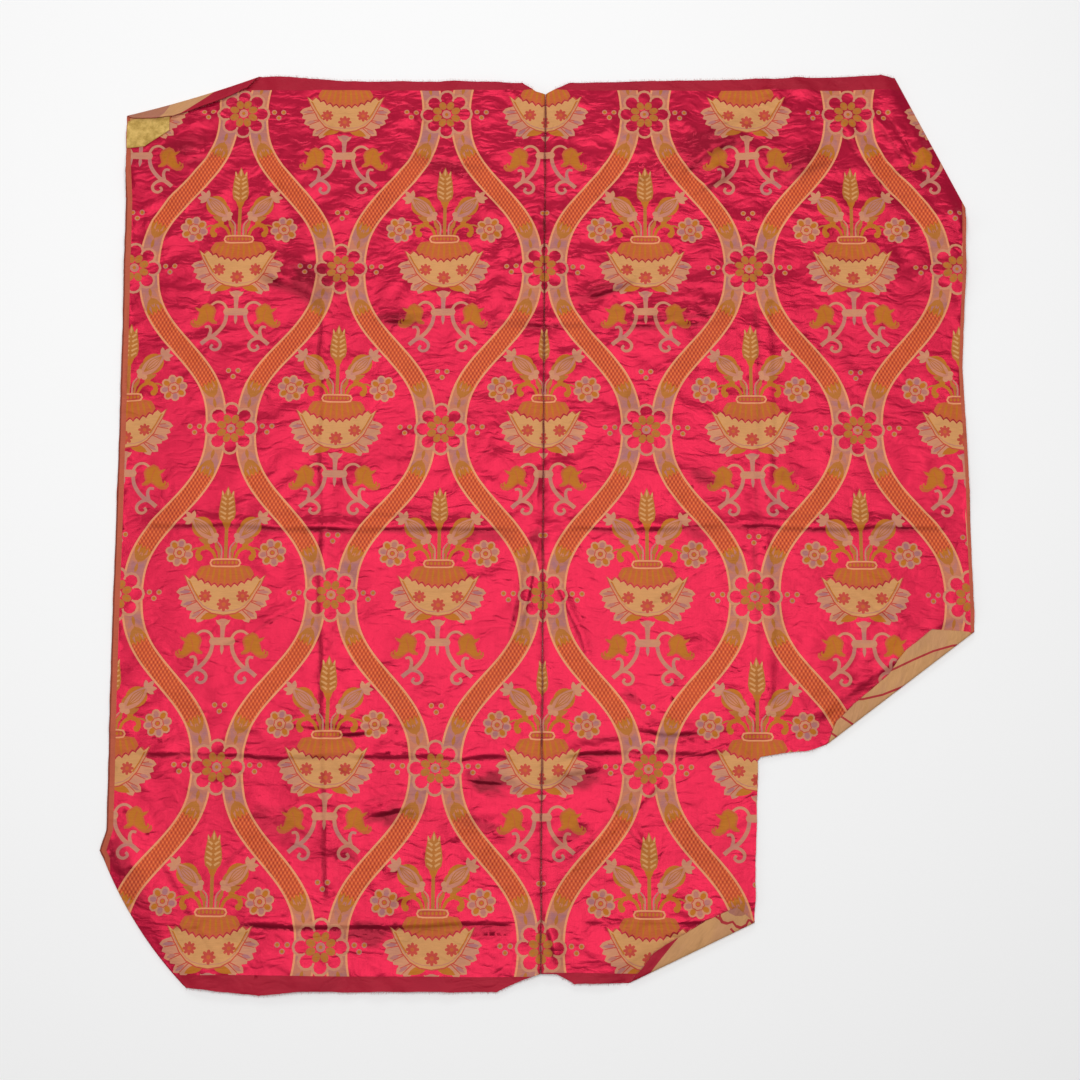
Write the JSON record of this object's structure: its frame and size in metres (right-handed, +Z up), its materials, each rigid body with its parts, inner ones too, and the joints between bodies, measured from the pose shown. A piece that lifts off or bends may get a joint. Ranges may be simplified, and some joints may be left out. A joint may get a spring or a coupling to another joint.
{
  "type": "figured silk brocade panel",
  "caption": "Flat panel of figured silk sewn from two loom widths, with a cut-away lower corner and turned-over edges.",
  "frame": {"origin": "on the surface the panel lies on, under the middle of its outline", "axes": "+Z up out of the figured face, +Y towards the top edge in the way the flower vases stand, +X to the right of someone facing the top edge"},
  "size_m": [1.1194, 1.205, 0.0061],
  "materials": {
    "figured_silk": "glossy crimson satin figured in gold, tan, mauve and cream weft, tan on the reverse",
    "plain_patch": "matte straw-coloured plain weave"
  },
  "bodies": {
    "root": {"left_width": "figured_silk", "right_width": "figured_silk", "corner_patch": "plain_patch"}
  },
  "joints": []
}
